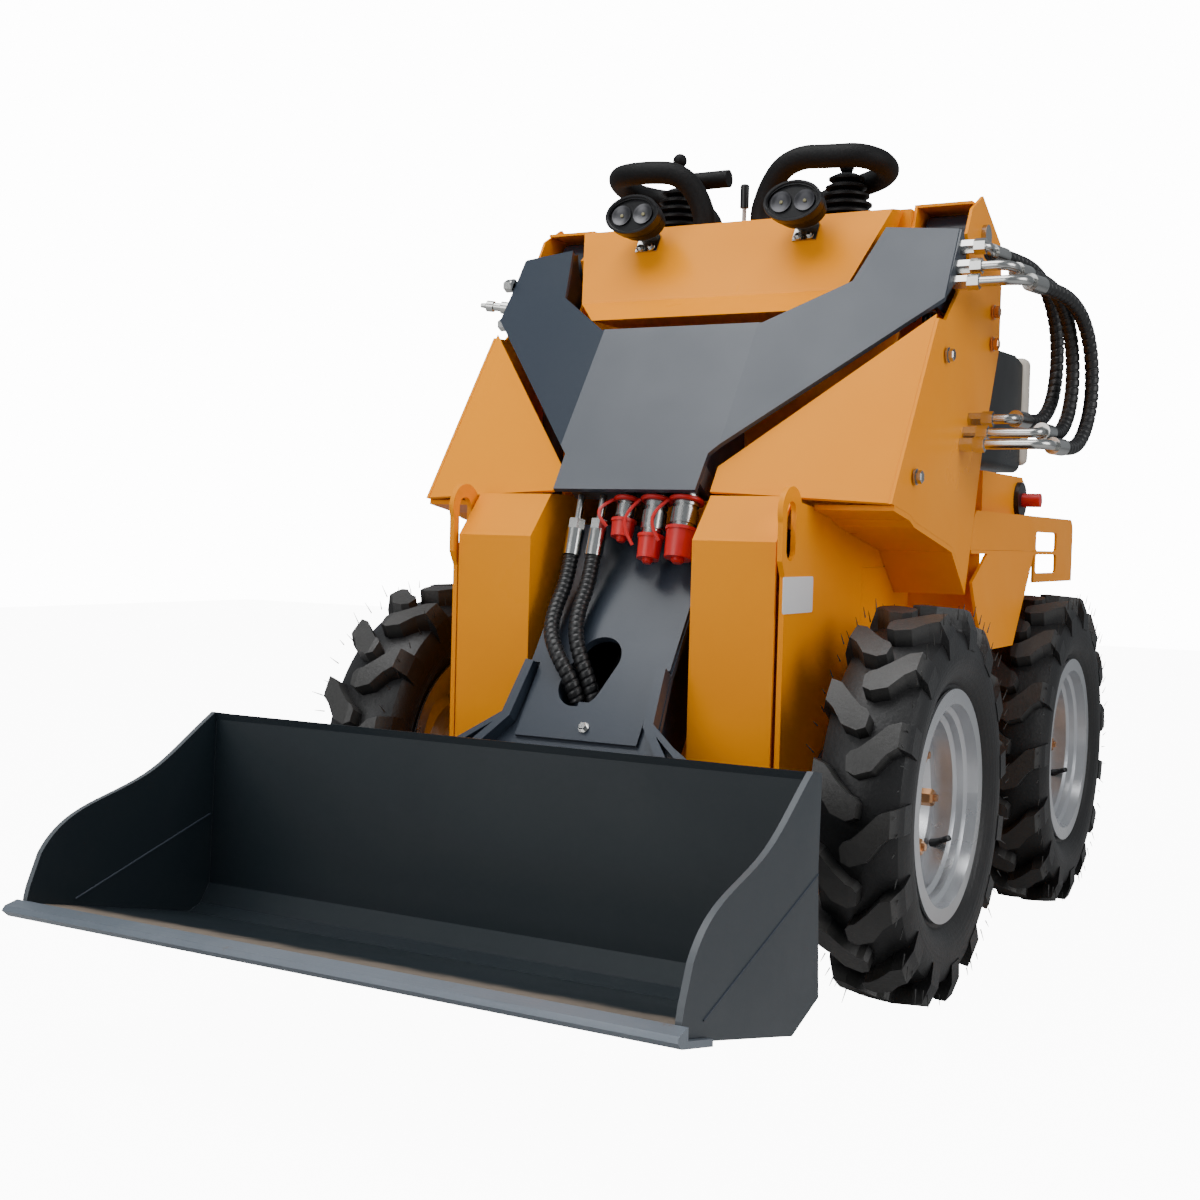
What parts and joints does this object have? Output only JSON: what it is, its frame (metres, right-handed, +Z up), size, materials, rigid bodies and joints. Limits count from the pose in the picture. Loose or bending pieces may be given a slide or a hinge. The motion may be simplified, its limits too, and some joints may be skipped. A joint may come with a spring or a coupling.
{
  "type": "compact wheeled skid steer loader",
  "caption": "Compact wheeled loader with a Y-shaped lift arm, a bucket, lugged tyres, work lamps and rear stand-on controls.",
  "frame": {"origin": "on the floor, below the middle of the bounding box of the machine without its hoses", "axes": "+X to the machine's left, +Y to its rear, +Z up"},
  "size_m": [1.0706, 2.234, 1.39],
  "materials": {
    "tyre_rubber": "black moulded rubber",
    "rim_silver": "silver paint",
    "amber_paint": "amber yellow powder coat",
    "slate_paint": "dark blue-grey powder coat",
    "steel": "bare steel",
    "bright_steel": "zinc plated",
    "worn_edge": "worn bare steel",
    "black_rubber": "matt rubber",
    "black_plastic": "matt moulded plastic",
    "beige_plastic": "pale beige plastic",
    "red_plastic": "red moulded plastic",
    "cast_block": "dark casting",
    "lamp_body": "black housing with clear lens"
  },
  "bodies": {
    "chassis": {"chassis_tub": "amber_paint", "side_plates": "amber_paint", "leg_covers": "amber_paint", "slanted_covers": "amber_paint", "arm_towers": "amber_paint", "pivot_pins": "steel", "fenders": "amber_paint", "wheel_motors": "slate_paint", "hood_console": "amber_paint", "reference_bars": "slate_paint", "lever_bellows": "black_rubber", "drive_lever_grips": "black_plastic", "throttle_lever": "bright_steel", "work_lamps": "lamp_body", "lamp_brackets": "steel", "engine_block": "cast_block", "engine_shroud": "black_plastic", "engine_rear_cover": "beige_plastic", "battery_box": "amber_paint", "battery_switch": "black_plastic", "rear_guards": "amber_paint", "operator_platform": "slate_paint", "tower_adapters": "bright_steel", "tower_hose_ends": "bright_steel"},
    "wheel_front_left_body": {"tyre_front_left": "tyre_rubber", "wheel_front_left": "rim_silver"},
    "wheel_front_right_body": {"tyre_front_right": "tyre_rubber", "wheel_front_right": "rim_silver"},
    "wheel_rear_left_body": {"tyre_rear_left": "tyre_rubber", "wheel_rear_left": "rim_silver"},
    "wheel_rear_right_body": {"tyre_rear_right": "tyre_rubber", "wheel_rear_right": "rim_silver"},
    "boom": {"lift_arm": "slate_paint", "arm_cover": "slate_paint", "arm_manifold": "steel", "hydraulic_couplers": "bright_steel", "coupler_caps": "red_plastic", "front_hose_ends": "bright_steel", "front_hose_left": "black_rubber", "front_hose_right": "black_rubber", "arm_adapters": "bright_steel", "arm_hose_ends": "bright_steel", "side_hose_upper": "black_rubber", "side_hose_middle": "black_rubber", "side_hose_lower": "black_rubber"},
    "bucket_group": {"quick_hitch": "slate_paint", "bucket": "slate_paint", "cutting_edge": "worn_edge"},
    "lift_barrels": {"lift_cylinder_barrels": "steel"},
    "lift_rods": {"lift_cylinder_rods": "bright_steel"},
    "tilt_barrel": {"tilt_cylinder_barrel": "steel"},
    "tilt_rod": {"tilt_cylinder_rod": "bright_steel"}
  },
  "joints": [
    {"name": "spin_front_left", "type": "hinge", "parent": "chassis", "child": "wheel_front_left_body", "pos_m": [0.423, -0.21, 0.295], "axis": [1, 0, 0], "continuous": true},
    {"name": "spin_front_right", "type": "hinge", "parent": "chassis", "child": "wheel_front_right_body", "pos_m": [-0.423, -0.21, 0.295], "axis": [1, 0, 0], "continuous": true},
    {"name": "spin_rear_left", "type": "hinge", "parent": "chassis", "child": "wheel_rear_left_body", "pos_m": [0.423, 0.585, 0.295], "axis": [1, 0, 0], "continuous": true},
    {"name": "spin_rear_right", "type": "hinge", "parent": "chassis", "child": "wheel_rear_right_body", "pos_m": [-0.423, 0.585, 0.295], "axis": [1, 0, 0], "continuous": true},
    {"name": "boom_lift", "type": "hinge", "parent": "chassis", "child": "boom", "pos_m": [0, 0.125, 1.193], "axis": [-1, 0, 0], "range_deg": [-4.5, 80], "deforming": ["side_hose_upper", "side_hose_middle", "side_hose_lower"]},
    {"name": "bucket_tilt", "type": "hinge", "parent": "boom", "child": "bucket_group", "pos_m": [0, -0.53806, 0.14485], "axis": [1, 0, 0], "range_deg": [-15, 120]},
    {"name": "lift_barrel_swing", "type": "hinge", "parent": "chassis", "child": "lift_barrels", "pos_m": [0, 0.03, 0.69], "axis": [1, 0, 0], "range_deg": [-3, 8]},
    {"name": "lift_rod_slide", "type": "slide", "parent": "lift_barrels", "child": "lift_rods", "axis": [0, -0.0405, 0.9992], "range_m": [-0.02, 0.22]},
    {"name": "tilt_barrel_swing", "type": "hinge", "parent": "boom", "child": "tilt_barrel", "pos_m": [0, -0.17861, 0.65629], "axis": [1, 0, 0], "range_deg": [-5, 3]},
    {"name": "tilt_rod_slide", "type": "slide", "parent": "tilt_barrel", "child": "tilt_rod", "axis": [0, -0.6258, -0.78], "range_m": [-0.03, 0.15]}
  ],
  "couplings": [
    {"joint": "lift_barrel_swing", "follows": "boom_lift", "ratio": 0.06},
    {"joint": "lift_rod_slide", "follows": "boom_lift", "m_per_rad": 0.1461},
    {"joint": "tilt_barrel_swing", "follows": "bucket_tilt", "ratio": -0.02},
    {"joint": "tilt_rod_slide", "follows": "bucket_tilt", "m_per_rad": 0.065317}
  ]
}
